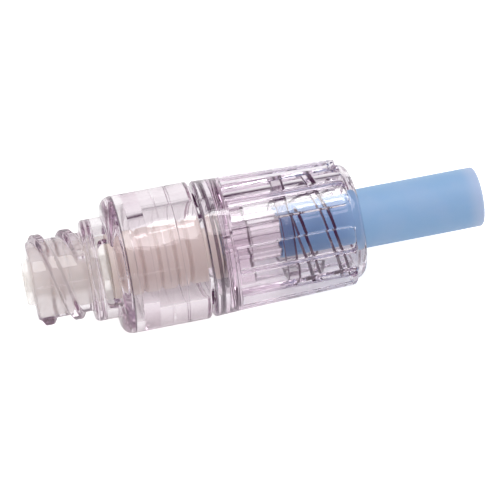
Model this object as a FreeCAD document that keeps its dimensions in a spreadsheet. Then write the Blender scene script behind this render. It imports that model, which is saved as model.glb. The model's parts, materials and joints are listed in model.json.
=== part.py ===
import FreeCAD, Part
import math
import os
import Sketcher

# A needle free connector, lying on its side along +X. X = 0 is the rim of its female luer mouth, where a
# syringe enters, and its male luer points along +X under a push-on tip cap. Millimetres, +Z up.
# Every piece is turned about the X axis, so most of them are one revolved outline (along, out) with a few
# cuts, and each outline takes its corners from the sheet of sizes below.

SIZES = [
    # the female luer mouth and its thread
    ("luer_core_radius", 3.4, "outside of the luer neck under the thread"),
    ("luer_mouth_radius", 2.15, "mouth of the tapered bore"),
    ("luer_taper", 0.03, "radius lost per millimetre: the 6 % luer taper"),
    ("luer_taper_depth", 3.0, "length of the tapered bore"),
    ("luer_relief_radius", 2.25, "bore behind the taper"),
    ("luer_length", 4.75, "rim to the face of the neck"),
    ("rim_round", 0.25, "rounding of the luer rim"),
    ("thread_height", 0.5, "height of the double-start thread"),
    ("thread_lead", 5.0, "advance per turn, both starts"),
    ("thread_base_width", 1.3, "width of a thread ridge at the core"),
    ("thread_crest_width", 0.6, "width of a thread ridge at its crest"),
    ("thread_first", 0.7, "rim to the middle of the ridge where it starts"),
    ("thread_turns", 0.76, "turns of each start"),
    ("thread_clock", -27.4, "degrees from +Y to where the first start begins"),
    ("thread_root_sink", 0.25, "how far a ridge is rooted in its wall"),
    # the neck, its windows and the barrel
    ("neck_radius", 4.38, "outside of the neck"),
    ("neck_length", 2.05, "face of the neck to the shoulder"),
    ("neck_round", 0.4, "rounding of the neck's front edge"),
    ("neck_skin", 0.78, "side wall of the neck"),
    ("neck_wall", 0.75, "thickness of the neck's front wall"),
    ("window_length", 1.25, "width of a vent window along the axis"),
    ("window_span", 5.4, "width of a vent window across the axis"),
    ("window_setback", 1.05, "face of the neck to the window"),
    ("window_round", 0.5, "rounding of the window corners"),
    ("window_clock", 44.3, "degrees from +Z to the middle of a window"),
    ("barrel_radius", 5.95, "outside of the barrel"),
    ("shoulder_round", 0.95, "rounding from shoulder to barrel"),
    ("shoulder_wall", 1.1, "thickness of the shoulder"),
    ("barrel_wall", 0.85, "wall of the barrel round the bonded base"),
    ("socket_depth", 4.6, "depth of that socket"),
    # the outlet base: cup, hub, cannula and male luer
    ("rim_gap", 0.8, "bottom of the socket to the rim of the cup"),
    ("cup_lip_length", 1.4, "length of the thick lip of the cup"),
    ("cup_lip_height", 0.51, "how far the lip stands in from the cup's bore"),
    ("cup_depth", 7.5, "rim of the cup to its floor"),
    ("trap_setback", 1.2, "end of the barrel to the trap that holds spare cement"),
    ("trap_width", 0.15, "width of that ring groove"),
    ("trap_depth", 0.1, "depth of that ring groove"),
    ("flange_width", 1.95, "the part of the base that shows behind the barrel"),
    ("flange_round", 0.2, "rounding of its rear edge"),
    ("hub_radius", 4.75, "hub that the collar turns on"),
    ("hub_wall", 0.49, "wall of the hub round the cup"),
    ("hub_length", 2.4, "flange to the end of the hub"),
    ("groove_setback", 0.9, "flange to the snap groove"),
    ("groove_width", 0.45, "width of the snap groove"),
    ("groove_depth", 0.2, "depth of the snap groove"),
    ("boss_play", 0.3, "boss between hub and luer to the bore of the collar"),
    ("boss_length", 1.75, "length of the boss"),
    ("luer_tip_radius", 2.0, "tip of the male luer"),
    ("luer_tip_round", 0.2, "rounding of the tip"),
    ("male_luer_length", 12.4, "boss to the tip of the male luer"),
    ("outlet_bore_radius", 1.1, "bore of the male luer"),
    ("floor_wall", 1.0, "floor of the cup to the wide outlet bore"),
    ("cannula_length", 9.3, "floor of the cup to the tip of the cannula"),
    ("cannula_root_radius", 1.3, "root of the cannula"),
    ("cannula_root_length", 2.3, "length of that root"),
    ("cannula_play", 0.2, "cannula to the bore of the valve head"),
    ("cannula_nose_radius", 0.35, "blunt end of the point"),
    ("cannula_point", 0.8, "length of the point"),
    ("cannula_bore_radius", 0.5, "bore of the cannula"),
    ("cannula_slot_length", 1.8, "side slot that lets the fluid in"),
    ("cannula_slot_width", 0.4, "width of the side slot"),
    # the valve head and its return boot
    ("head_play", 0.06, "valve head to the narrow end of the luer taper"),
    ("head_stand", 0.65, "how far the face stands out of the rim"),
    ("head_length", 3.85, "face to the end of the full head"),
    ("head_round", 0.3, "rounding of the face"),
    ("head_membrane", 1.7, "thickness of the slit face"),
    ("head_bore_radius", 1.1, "bore that clears the cannula"),
    ("slit_length", 2.0, "slit in the face"),
    ("slit_width", 0.08, "gap of the slit"),
    ("stem_radius", 1.75, "stem between head and collar"),
    ("stop_radius", 2.75, "collar that stops the head in the neck"),
    ("stop_width", 1.1, "width of the stop collar"),
    ("stop_gap", 0.05, "stop collar to the neck's front wall"),
    ("tail_radius", 1.6, "tail that centres the boot"),
    ("tail_length", 1.5, "length of the tail"),
    ("boot_radius", 2.8, "outside of the boot"),
    ("boot_wall", 0.6, "thickness of the silicone"),
    ("fold_groove_depth", 0.3, "depth of the grooves where the boot folds"),
    ("fold_groove_width", 0.4, "width of those grooves"),
    ("boot_ring_width", 0.7, "solid ring at either end of the boot"),
    ("boot_gap", 0.05, "play at either end and round the tail"),
    # the locking collar
    ("collar_gap", 0.35, "flange to the collar"),
    ("collar_front_radius", 5.9, "front edge of the collar"),
    ("collar_skirt_radius", 5.8, "end of the smooth skirt"),
    ("collar_skirt_length", 2.3, "length of the smooth skirt"),
    ("collar_end_radius", 5.48, "rear end of the grip ribs"),
    ("grip_length", 10.2, "length of the grip ribs"),
    ("collar_round", 0.2, "rounding of the collar's edges"),
    ("dome_radius", 5.0, "lip behind the ribs"),
    ("dome_length", 0.95, "length of that lip"),
    ("dome_round", 0.85, "rounding of that lip"),
    ("flute_wall", 0.6, "wall under the flat floor of a flute"),
    ("flute_width", 2.16, "width of a flute"),
    ("flute_round", 0.6, "rounding of a flute's rear corners"),
    ("collar_clock", 5.2, "degrees from +Z to the middle of a flute"),
    ("running_gap", 0.08, "radial play of the collar on its hub"),
    ("bead_play", 0.08, "play of the snap bead along the groove"),
    ("hub_end_gap", 0.15, "end of the hub to the collar's step"),
    ("collar_bore_radius", 4.0, "bore behind the step and root of the inner thread"),
    ("web_setback", 4.3, "step to the web"),
    ("web_width", 0.9, "thickness of the web"),
    ("web_height", 0.6, "how far the web stands in from the bore"),
    ("mouth_chamfer", 0.1, "chamfer at the mouth of the collar"),
    ("lock_height", 0.5, "height of the inner thread"),
    ("lock_base_width", 0.9, "width of an inner ridge at its root"),
    ("lock_crest_width", 0.5, "width of an inner ridge at its crest"),
    ("lock_first", 0.55, "web to the middle of the ridge where it starts"),
    ("lock_turns", 0.88, "turns of each start"),
    ("lock_clock", 85.0, "degrees from +Y to where the first start begins"),
    # the tip cap
    ("cap_radius", 2.59, "outside of the cap"),
    ("cap_length", 17.85, "length of the cap"),
    ("cap_setback", 0.05, "front of the web to the mouth of the cap"),
    ("cap_end_wall", 1.1, "closed end of the cap"),
    ("cap_round", 0.12, "rounding of the cap's edges"),
    ("cap_play", 0.05, "male luer to the bore of the cap"),
]
FLUTES = 8
STARTS = 2
BOOT_FOLDS = 6

doc = FreeCAD.newDocument("NeedleFreeConnector")
sheet = doc.addObject("Spreadsheet::Sheet", "Sizes")
for row, (alias, number, note) in enumerate(SIZES, start=1):
    sheet.set(f"A{row}", alias)
    sheet.set(f"B{row}", str(number))
    sheet.setAlias(f"B{row}", alias)
    sheet.set(f"C{row}", note)
doc.recompute()


class Size:
    """A length that knows its value and the expression that gives it from the sheet."""

    def __init__(self, text, value):
        self.text = text
        self.value = value

    def __add__(self, other):
        other = as_size(other)
        return Size(f"({self.text} + {other.text})", self.value + other.value)

    def __sub__(self, other):
        other = as_size(other)
        return Size(f"({self.text} - {other.text})", self.value - other.value)

    def __mul__(self, other):
        other = as_size(other)
        return Size(f"({self.text} * {other.text})", self.value * other.value)

    def __truediv__(self, other):
        other = as_size(other)
        return Size(f"({self.text} / {other.text})", self.value / other.value)

    def __neg__(self):
        return Size(f"(0 - {self.text})", -self.value)


def as_size(value):
    return value if isinstance(value, Size) else Size(str(value), float(value))


ORIGIN = as_size(0)
s = {alias: Size(f"Sizes.{alias}", float(number)) for alias, number, note in SIZES}

# stations along the axis, from the luer rim towards the cap
neck_face = s["luer_length"]
shoulder_face = neck_face + s["neck_length"]
chamber_front = neck_face + s["neck_wall"]
socket_floor = shoulder_face + s["shoulder_wall"]
barrel_end = socket_floor + s["socket_depth"]
cup_rim = socket_floor + s["rim_gap"]
cup_floor = cup_rim + s["cup_depth"]
flange_back = barrel_end + s["flange_width"]
hub_end = flange_back + s["hub_length"]
boss_end = hub_end + s["boss_length"]
luer_tip = boss_end + s["male_luer_length"]
groove_front = flange_back + s["groove_setback"]
groove_back = groove_front + s["groove_width"]
collar_front = flange_back + s["collar_gap"]
skirt_end = collar_front + s["collar_skirt_length"]
grip_end = skirt_end + s["grip_length"]
collar_end = grip_end + s["dome_length"]
collar_step = hub_end + s["hub_end_gap"]
web_front = collar_step + s["web_setback"]
web_back = web_front + s["web_width"]
cap_mouth = web_front + s["cap_setback"]
cap_end = cap_mouth + s["cap_length"]
stop_front = chamber_front + s["stop_gap"]
stop_back = stop_front + s["stop_width"]

# radii that follow from a neighbour's radius and a wall or a play
taper_end_radius = s["luer_mouth_radius"] - s["luer_taper"] * s["luer_taper_depth"]
neck_bore_radius = s["neck_radius"] - s["neck_skin"]
socket_radius = s["barrel_radius"] - s["barrel_wall"]
groove_radius = s["hub_radius"] - s["groove_depth"]
cup_radius = s["hub_radius"] - s["hub_wall"]
cup_lip_radius = cup_radius - s["cup_lip_height"]
boss_radius = s["collar_bore_radius"] - s["boss_play"]
head_radius = taper_end_radius - s["head_play"]
cannula_radius = s["head_bore_radius"] - s["cannula_play"]


def male_luer_radius(along):
    """Radius of the 6 % male cone at a station."""
    return s["luer_tip_radius"] + s["luer_taper"] * (luer_tip - along)


def new_body(label):
    body = doc.addObject("PartDesign::Body", label)
    body.Label = label
    return body


def origin_plane(body, role):
    return next(f for f in body.Origin.OriginFeatures if f.Role == role)


def new_sketch(body, name, role="XY_Plane"):
    sketch = body.newObject("Sketcher::SketchObject", name)
    sketch.AttachmentSupport = [(origin_plane(body, role), "")]
    sketch.MapMode = "FlatFace"
    return sketch


def fix_point(sketch, geometry, end, along, out):
    """Tie a point of the sketch to a place measured from the sketch's origin."""
    for kind, axis, size in (("DistanceX", -2, along), ("DistanceY", -1, out)):
        if size is ORIGIN:
            sketch.addConstraint(Sketcher.Constraint("PointOnObject", geometry, end, axis))
            continue
        index = sketch.addConstraint(Sketcher.Constraint(kind, -1, 1, geometry, end, size.value))
        sketch.setExpression(f"Constraints[{index}]", size.text)


def corner_arc(before, corner, after, radius):
    """The tangent arc at a corner: its two ends, its middle and whether it turns anticlockwise."""
    back = (before - corner).normalize()
    ahead = (after - corner).normalize()
    half = back.getAngle(ahead) / 2
    reach = radius / math.tan(half)
    centre = corner + (back + ahead).normalize() * (radius / math.sin(half))
    anticlockwise = (corner - before).cross(after - corner).z > 0
    return corner + back * reach, corner + ahead * reach, centre, anticlockwise


def draw_outline(sketch, corners):
    """A closed outline of straight sides; a corner is (along, out) or (along, out, rounding)."""
    spots = [FreeCAD.Vector(c[0].value, c[1].value, 0) for c in corners]
    count = len(corners)
    arcs = {}
    for i, corner in enumerate(corners):
        if len(corner) == 3:
            arcs[i] = corner_arc(spots[i - 1], spots[i], spots[(i + 1) % count], corner[2].value)
    lines = []
    for i in range(count):
        following = (i + 1) % count
        start = arcs[i][1] if i in arcs else spots[i]
        end = arcs[following][0] if following in arcs else spots[following]
        lines.append(sketch.addGeometry(Part.LineSegment(start, end)))
    for i, corner in enumerate(corners):
        side_in, side_out = lines[i - 1], lines[i]
        if i not in arcs:
            sketch.addConstraint(Sketcher.Constraint("Coincident", side_in, 2, side_out, 1))
            fix_point(sketch, side_out, 1, corner[0], corner[1])
            continue
        entry, leave, centre, anticlockwise = arcs[i]
        first, last = (entry, leave) if anticlockwise else (leave, entry)
        circle = Part.Circle(centre, FreeCAD.Vector(0, 0, 1), corner[2].value)
        start_angle = math.atan2(first.y - centre.y, first.x - centre.x)
        end_angle = math.atan2(last.y - centre.y, last.x - centre.x)
        if end_angle < start_angle:
            end_angle += 2 * math.pi
        arc = sketch.addGeometry(Part.ArcOfCircle(circle, start_angle, end_angle))
        arc_in, arc_out = (1, 2) if anticlockwise else (2, 1)
        point = sketch.addGeometry(Part.Point(spots[i]))
        fix_point(sketch, point, 1, corner[0], corner[1])
        sketch.addConstraint(Sketcher.Constraint("PointOnObject", point, 1, side_in))
        sketch.addConstraint(Sketcher.Constraint("PointOnObject", point, 1, side_out))
        sketch.addConstraint(Sketcher.Constraint("Tangent", side_in, 2, arc, arc_in))
        sketch.addConstraint(Sketcher.Constraint("Tangent", side_out, 1, arc, arc_out))
        index = sketch.addConstraint(Sketcher.Constraint("Radius", arc, corner[2].value))
        sketch.setExpression(f"Constraints[{index}]", corner[2].text)
    if sketch.solve() != 0:
        raise RuntimeError(f"{sketch.Name} has no solution")


def revolve(body, name, corners):
    """Turn an outline (along, out) round the X axis."""
    sketch = new_sketch(body, name + "Outline")
    draw_outline(sketch, corners)
    turned = body.newObject("PartDesign::Revolution", name)
    turned.Profile = sketch
    turned.ReferenceAxis = (sketch, ["H_Axis"])
    turned.Angle = 360.0
    return turned


def pocket_outwards(body, name, corners, floor, depth):
    """Cut an outline drawn on a plane above the axis, from its floor outwards."""
    sketch = new_sketch(body, name + "Outline")
    sketch.AttachmentOffset = FreeCAD.Placement(FreeCAD.Vector(0, 0, floor.value), FreeCAD.Rotation())
    sketch.setExpression("AttachmentOffset.Base.z", floor.text)
    draw_outline(sketch, corners)
    cut = body.newObject("PartDesign::Pocket", name)
    cut.Profile = sketch
    cut.Reversed = True
    cut.Length = depth.value
    cut.setExpression("Length", depth.text)
    return cut


def pattern_round_axis(body, name, features, count):
    """Repeat cuts or ridges evenly round the X axis."""
    pattern = body.newObject("PartDesign::PolarPattern", name)
    pattern.Originals = features
    pattern.Axis = (origin_x(body), [""])
    pattern.Angle = 360.0
    pattern.Occurrences = count
    body.Tip = pattern
    return pattern


def origin_x(body):
    return next(f for f in body.Origin.OriginFeatures if f.Role == "X_Axis")


def thread_ridge(body, name, corners, clock, turns):
    """Wind a ridge section along the right-hand helix of the luer thread."""
    sketch = new_sketch(body, name + "Section")
    sketch.AttachmentOffset = FreeCAD.Placement(
        FreeCAD.Vector(0, 0, 0), FreeCAD.Rotation(FreeCAD.Vector(1, 0, 0), clock.value)
    )
    sketch.setExpression("AttachmentOffset.Rotation.Angle", clock.text)
    draw_outline(sketch, corners)
    ridge = body.newObject("PartDesign::AdditiveHelix", name)
    ridge.Profile = sketch
    ridge.ReferenceAxis = (sketch, ["H_Axis"])
    ridge.Mode = "pitch-turns-angle"
    ridge.Pitch = s["thread_lead"].value
    ridge.Turns = turns.value
    ridge.setExpression("Pitch", s["thread_lead"].text)
    ridge.setExpression("Turns", turns.text)
    ridge.LeftHanded = False
    ridge.Reversed = False
    return ridge


def turn_about_axis(body, clock):
    body.Placement = FreeCAD.Placement(
        FreeCAD.Vector(0, 0, 0), FreeCAD.Rotation(FreeCAD.Vector(1, 0, 0), clock.value)
    )
    body.setExpression("Placement.Rotation.Angle", clock.text)


def front_housing():
    """The clear front moulding: threaded luer mouth, vented neck, shoulder and barrel."""
    body = new_body("front_housing")
    taper_end = s["luer_taper_depth"]
    revolve(body, "HousingWall", [
        (ORIGIN, s["luer_mouth_radius"]),
        (ORIGIN, s["luer_core_radius"], s["rim_round"]),
        (neck_face, s["luer_core_radius"]),
        (neck_face, s["neck_radius"], s["neck_round"]),
        (shoulder_face, s["neck_radius"]),
        (shoulder_face, s["barrel_radius"], s["shoulder_round"]),
        (barrel_end, s["barrel_radius"]),
        (barrel_end, socket_radius),
        (socket_floor, socket_radius),
        (socket_floor, neck_bore_radius),
        (chamber_front, neck_bore_radius),
        (chamber_front, s["luer_relief_radius"]),
        (taper_end, s["luer_relief_radius"]),
        (taper_end, taper_end_radius),
    ])
    window_front = neck_face + s["window_setback"]
    window_back = window_front + s["window_length"]
    half_span = s["window_span"] / 2
    window = pocket_outwards(body, "Window", [
        (window_front, -half_span, s["window_round"]),
        (window_back, -half_span, s["window_round"]),
        (window_back, half_span, s["window_round"]),
        (window_front, half_span, s["window_round"]),
    ], s["stem_radius"], s["barrel_radius"] - s["stem_radius"])
    pattern_round_axis(body, "Windows", [window], 2)
    base_half = s["thread_base_width"] / 2
    crest_half = s["thread_crest_width"] / 2
    root = s["luer_core_radius"] - s["thread_root_sink"]
    crest = s["luer_core_radius"] + s["thread_height"]
    ridge = thread_ridge(body, "LuerThread", [
        (s["thread_first"] - base_half, root),
        (s["thread_first"] - base_half, s["luer_core_radius"]),
        (s["thread_first"] - crest_half, crest),
        (s["thread_first"] + crest_half, crest),
        (s["thread_first"] + base_half, s["luer_core_radius"]),
        (s["thread_first"] + base_half, root),
    ], s["thread_clock"], s["thread_turns"])
    pattern_round_axis(body, "LuerThreadStarts", [ridge], STARTS)
    turn_about_axis(body, s["window_clock"])
    return body


def outlet_base():
    """The clear rear moulding: cup with its cannula, flange, grooved hub, boss and male luer."""
    body = new_body("outlet_base")
    cannula_tip = cup_floor - s["cannula_length"]
    cannula_root = cup_floor - s["cannula_root_length"]
    point_end = cannula_tip + s["cannula_point"]
    bore_front = point_end
    bore_back = cup_floor + s["floor_wall"]
    trap_back = barrel_end - s["trap_setback"]
    trap_front = trap_back - s["trap_width"]
    trap_radius = socket_radius - s["trap_depth"]
    revolve(body, "BaseWall", [
        (luer_tip, s["outlet_bore_radius"]),
        (luer_tip, s["luer_tip_radius"], s["luer_tip_round"]),
        (boss_end, male_luer_radius(boss_end)),
        (boss_end, boss_radius),
        (hub_end, boss_radius),
        (hub_end, s["hub_radius"]),
        (groove_back, s["hub_radius"]),
        (groove_back, groove_radius),
        (groove_front, groove_radius),
        (groove_front, s["hub_radius"]),
        (flange_back, s["hub_radius"]),
        (flange_back, s["barrel_radius"], s["flange_round"]),
        (barrel_end, s["barrel_radius"]),
        (barrel_end, socket_radius),
        (trap_back, socket_radius),
        (trap_back, trap_radius),
        (trap_front, trap_radius),
        (trap_front, socket_radius),
        (cup_rim, socket_radius),
        (cup_rim, cup_lip_radius),
        (cup_rim + s["cup_lip_length"], cup_lip_radius),
        (cup_rim + s["cup_lip_length"], cup_radius),
        (cup_floor, cup_radius),
        (cup_floor, s["cannula_root_radius"]),
        (cannula_root, s["cannula_root_radius"]),
        (cannula_root, cannula_radius),
        (point_end, cannula_radius),
        (cannula_tip, s["cannula_nose_radius"]),
        (cannula_tip, ORIGIN),
        (bore_front, ORIGIN),
        (bore_front, s["cannula_bore_radius"]),
        (bore_back, s["cannula_bore_radius"]),
        (bore_back, s["outlet_bore_radius"]),
    ])
    half_slot = s["cannula_slot_width"] / 2
    slot_end = bore_front + s["cannula_slot_length"]
    sketch = new_sketch(body, "CannulaSlotOutline")
    draw_outline(sketch, [
        (bore_front, -half_slot),
        (slot_end, -half_slot),
        (slot_end, half_slot),
        (bore_front, half_slot),
    ])
    slot = body.newObject("PartDesign::Pocket", "CannulaSlot")
    slot.Profile = sketch
    slot.Midplane = True
    slot.setExpression("Length", (cannula_radius * 3).text)
    body.Tip = slot
    return body


def valve_head():
    """The frosted plug with the slit face that a syringe pushes in, stopped by a collar in the neck."""
    body = new_body("valve_head")
    head_end = s["head_length"] - s["head_stand"]
    bore_front = s["head_membrane"] - s["head_stand"]
    tail_end = stop_back + s["tail_length"]
    revolve(body, "HeadWall", [
        (-s["head_stand"], ORIGIN),
        (-s["head_stand"], head_radius, s["head_round"]),
        (head_end, head_radius, s["head_round"]),
        (head_end, s["stem_radius"]),
        (stop_front, s["stem_radius"]),
        (stop_front, s["stop_radius"]),
        (stop_back, s["stop_radius"]),
        (stop_back, s["tail_radius"]),
        (tail_end, s["tail_radius"]),
        (tail_end, s["head_bore_radius"]),
        (bore_front, s["head_bore_radius"]),
        (bore_front, ORIGIN),
    ])
    half_length = s["slit_length"] / 2
    half_width = s["slit_width"] / 2
    sketch = new_sketch(body, "SlitOutline", "YZ_Plane")
    draw_outline(sketch, [
        (-half_length, -half_width),
        (half_length, -half_width),
        (half_length, half_width),
        (-half_length, half_width),
    ])
    slit = body.newObject("PartDesign::Pocket", "Slit")
    slit.Profile = sketch
    slit.Midplane = True
    slit.setExpression("Length", (s["head_membrane"] * 2 + s["head_stand"]).text)
    body.Tip = slit
    return body


def return_boot():
    """The silicone sleeve, grooved so that it folds, between the head's stop collar and the cup's floor."""
    body = new_body("return_boot")
    front = stop_back + s["boot_gap"]
    back = cup_floor - s["boot_gap"]
    wall_front = front + s["boot_ring_width"]
    wall_back = back - s["boot_ring_width"]
    ring_bore = s["tail_radius"] + s["boot_gap"]
    bore = s["boot_radius"] - s["boot_wall"]
    pitch = (wall_back - wall_front) / BOOT_FOLDS
    half_groove = s["fold_groove_width"] / 2
    grooves = []
    for i in range(BOOT_FOLDS):
        middle = wall_front + pitch * (i + 0.5)
        grooves += [
            (middle - half_groove, s["boot_radius"]),
            (middle, s["boot_radius"] - s["fold_groove_depth"]),
            (middle + half_groove, s["boot_radius"]),
        ]
    revolve(body, "BootWall", [(front, ring_bore), (front, s["boot_radius"])] + grooves + [
        (back, s["boot_radius"]),
        (back, ring_bore),
        (wall_back, ring_bore),
        (wall_back, bore),
        (wall_front, bore),
        (wall_front, ring_bore),
    ])
    return body


def locking_collar():
    """The clear spin collar: smooth skirt, eight grip ribs, domed lip and a double-start inner thread."""
    body = new_body("locking_collar")
    bead_front = groove_front + s["bead_play"]
    bead_back = groove_back - s["bead_play"]
    hub_bore = s["hub_radius"] + s["running_gap"]
    web_hole = s["collar_bore_radius"] - s["web_height"]
    mouth = collar_end - s["mouth_chamfer"]
    revolve(body, "CollarWall", [
        (collar_front, hub_bore),
        (collar_front, s["collar_front_radius"], s["collar_round"]),
        (skirt_end, s["collar_skirt_radius"]),
        (grip_end, s["collar_end_radius"], s["collar_round"]),
        (grip_end, s["dome_radius"]),
        (collar_end, s["dome_radius"], s["dome_round"]),
        (collar_end, s["collar_bore_radius"] + s["mouth_chamfer"]),
        (mouth, s["collar_bore_radius"]),
        (web_back, s["collar_bore_radius"]),
        (web_back, web_hole),
        (web_front, web_hole),
        (web_front, s["collar_bore_radius"]),
        (collar_step, s["collar_bore_radius"]),
        (collar_step, hub_bore),
        (bead_back, hub_bore),
        (bead_back, groove_radius + s["running_gap"]),
        (bead_front, groove_radius + s["running_gap"]),
        (bead_front, hub_bore),
    ])
    half_width = s["flute_width"] / 2
    flute = pocket_outwards(body, "Flute", [
        (skirt_end, -half_width),
        (grip_end, -half_width, s["flute_round"]),
        (grip_end, half_width, s["flute_round"]),
        (skirt_end, half_width),
    ], s["collar_bore_radius"] + s["flute_wall"], s["collar_front_radius"])
    pattern_round_axis(body, "Flutes", [flute], FLUTES)
    base_half = s["lock_base_width"] / 2
    crest_half = s["lock_crest_width"] / 2
    middle = web_back + s["lock_first"]
    root = s["collar_bore_radius"] + s["thread_root_sink"]
    crest = s["collar_bore_radius"] - s["lock_height"]
    ridge = thread_ridge(body, "LockThread", [
        (middle - base_half, root),
        (middle - base_half, s["collar_bore_radius"]),
        (middle - crest_half, crest),
        (middle + crest_half, crest),
        (middle + base_half, s["collar_bore_radius"]),
        (middle + base_half, root),
    ], s["lock_clock"], s["lock_turns"])
    pattern_round_axis(body, "LockThreadStarts", [ridge], STARTS)
    turn_about_axis(body, s["collar_clock"])
    return body


def tip_cap():
    """The blue push-on cap: a long tube with a closed end that grips the male luer."""
    body = new_body("tip_cap")
    bore_end = cap_end - s["cap_end_wall"]
    bore_radius = s["luer_tip_radius"] + s["cap_play"]
    revolve(body, "CapWall", [
        (cap_mouth, male_luer_radius(cap_mouth) + s["cap_play"]),
        (cap_mouth, s["cap_radius"], s["cap_round"]),
        (cap_end, s["cap_radius"], s["cap_round"]),
        (cap_end, ORIGIN),
        (bore_end, ORIGIN),
        (bore_end, bore_radius),
        (luer_tip, bore_radius),
    ])
    return body


bodies = [front_housing(), valve_head(), return_boot(), outlet_base(), locking_collar(), tip_cap()]
doc.recompute()

for item in doc.Objects:
    if "Invalid" in item.State or "Error" in item.State:
        raise RuntimeError(f"{item.Name} did not build")

os.makedirs("parts", exist_ok=True)
for body in bodies:
    shape = body.Shape
    if shape.isNull() or not shape.isValid() or len(shape.Solids) != 1:
        raise RuntimeError(f"{body.Label} is not one valid solid")
    shape.exportStep(f"parts/{body.Label}.step")
    box = shape.BoundBox
    print(f"{body.Label}: {shape.Volume:.2f} mm3, X {box.XMin:.2f} to {box.XMax:.2f}, radius {box.ZMax:.2f}")
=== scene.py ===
# %% [markdown]
# A needle free connector in clear plastic
#
# The connector lies on its side along +X: a threaded luer mouth with a frosted valve head, a vented neck, a
# barrel that holds a beige silicone boot, a ribbed locking collar that spins, and a blue cap on the male
# luer. Nearly all of it is clear, so the look comes from light that bends through real walls, bores,
# threads and ribs. Each piece is therefore a closed mesh with its true inside.

# %% Load the frame
import json
import math

import bmesh
import bpy
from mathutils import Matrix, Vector


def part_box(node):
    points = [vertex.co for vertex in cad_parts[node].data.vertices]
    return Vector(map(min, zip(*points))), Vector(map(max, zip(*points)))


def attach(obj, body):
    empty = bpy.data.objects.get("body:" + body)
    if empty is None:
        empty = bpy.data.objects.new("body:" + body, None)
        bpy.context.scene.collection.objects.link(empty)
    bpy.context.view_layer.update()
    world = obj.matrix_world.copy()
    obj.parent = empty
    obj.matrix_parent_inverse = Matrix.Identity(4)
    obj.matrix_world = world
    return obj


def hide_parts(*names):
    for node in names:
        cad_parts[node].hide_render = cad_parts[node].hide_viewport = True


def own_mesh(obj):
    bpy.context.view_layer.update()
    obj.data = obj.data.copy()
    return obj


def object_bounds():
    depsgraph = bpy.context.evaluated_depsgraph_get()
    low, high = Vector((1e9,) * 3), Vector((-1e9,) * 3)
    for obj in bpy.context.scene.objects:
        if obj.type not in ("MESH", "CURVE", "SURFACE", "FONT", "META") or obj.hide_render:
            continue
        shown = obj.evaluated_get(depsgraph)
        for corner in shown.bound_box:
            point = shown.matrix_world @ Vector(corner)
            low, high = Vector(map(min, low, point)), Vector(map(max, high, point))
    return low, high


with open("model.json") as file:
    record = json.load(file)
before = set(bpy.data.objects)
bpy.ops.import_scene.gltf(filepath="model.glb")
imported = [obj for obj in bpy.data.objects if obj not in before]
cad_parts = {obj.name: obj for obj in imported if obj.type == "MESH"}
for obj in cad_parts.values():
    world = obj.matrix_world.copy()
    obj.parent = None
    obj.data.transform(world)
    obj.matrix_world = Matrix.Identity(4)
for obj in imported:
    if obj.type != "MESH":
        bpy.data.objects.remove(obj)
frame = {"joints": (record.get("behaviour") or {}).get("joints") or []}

MM = 0.001
cad_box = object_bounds()
print("packed model, mm:", [[round(value / MM, 2) for value in corner] for corner in cad_box])

# %% [markdown]
# The camera
#
# The photograph looks down on the connector from in front, with a long lens, and the connector points a
# little away from the camera. Two angles, the aim and the distance put the camera there.

# %% Camera
LENS_MM = 169.3
SENSOR_MM = 36.0
CAMERA_DISTANCE = 201.55
CAMERA_ELEVATION = math.radians(56.6)
CAMERA_AZIMUTH = math.radians(13.0)
AIM_ALONG = 18.84
AIM_DROP = 0.857

forward = Vector((
    math.cos(CAMERA_ELEVATION) * math.sin(CAMERA_AZIMUTH),
    math.cos(CAMERA_ELEVATION) * math.cos(CAMERA_AZIMUTH),
    -math.sin(CAMERA_ELEVATION),
))
rightward = Vector((math.cos(CAMERA_AZIMUTH), -math.sin(CAMERA_AZIMUTH), 0.0))
upward = rightward.cross(forward)
axis_on_image = Vector((rightward.x, upward.x)).normalized()
across_axis = upward * axis_on_image.x - rightward * axis_on_image.y
camera_place = Vector((AIM_ALONG, 0.0, 0.0)) - forward * CAMERA_DISTANCE - across_axis * AIM_DROP

camera_data = bpy.data.cameras.new("camera")
camera_data.lens = LENS_MM
camera_data.sensor_width = SENSOR_MM
camera_data.clip_start = 0.01
camera_data.clip_end = 10.0
camera = bpy.data.objects.new("camera", camera_data)
camera.location = camera_place * MM
camera.rotation_mode = "QUATERNION"
camera.rotation_quaternion = forward.to_track_quat("-Z", "Y")
bpy.context.scene.collection.objects.link(camera)
bpy.context.scene.camera = camera
print("camera at, mm:", [round(value, 1) for value in camera_place])

# %% [markdown]
# Node trees written as plain maths
#
# A material or a geometry tree is easier to read as formulas than as boxes and wires. Wire holds one socket
# and turns +, -, *, / and < into Math nodes, so that 1 - mask works. Tree.node makes every other node.

# %% Wires and trees
class Wire:
    """One output socket, which can be used in arithmetic."""

    def __init__(self, tree, socket):
        self.tree = tree
        self.socket = socket

    def __add__(self, other):
        return self.tree.math("ADD", self, other)

    __radd__ = __add__

    def __sub__(self, other):
        return self.tree.math("SUBTRACT", self, other)

    def __rsub__(self, other):
        return self.tree.math("SUBTRACT", other, self)

    def __mul__(self, other):
        return self.tree.math("MULTIPLY", self, other)

    __rmul__ = __mul__

    def __truediv__(self, other):
        return self.tree.math("DIVIDE", self, other)

    def __abs__(self):
        return self.tree.math("ABSOLUTE", self)

    def __lt__(self, other):
        return self.tree.math("LESS_THAN", self, other)

    def beside(self, name):
        """Another output of the node that this wire comes from."""
        return Wire(self.tree, self.socket.node.outputs[name])

    def smooth(self, start, end):
        """0 before start, 1 after end, and an even curve between them."""
        settings = {"interpolation_type": "SMOOTHSTEP"}
        sockets = {"Value": self, "From Min": start, "From Max": end}
        return self.tree.node("ShaderNodeMapRange", settings, sockets)


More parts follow.
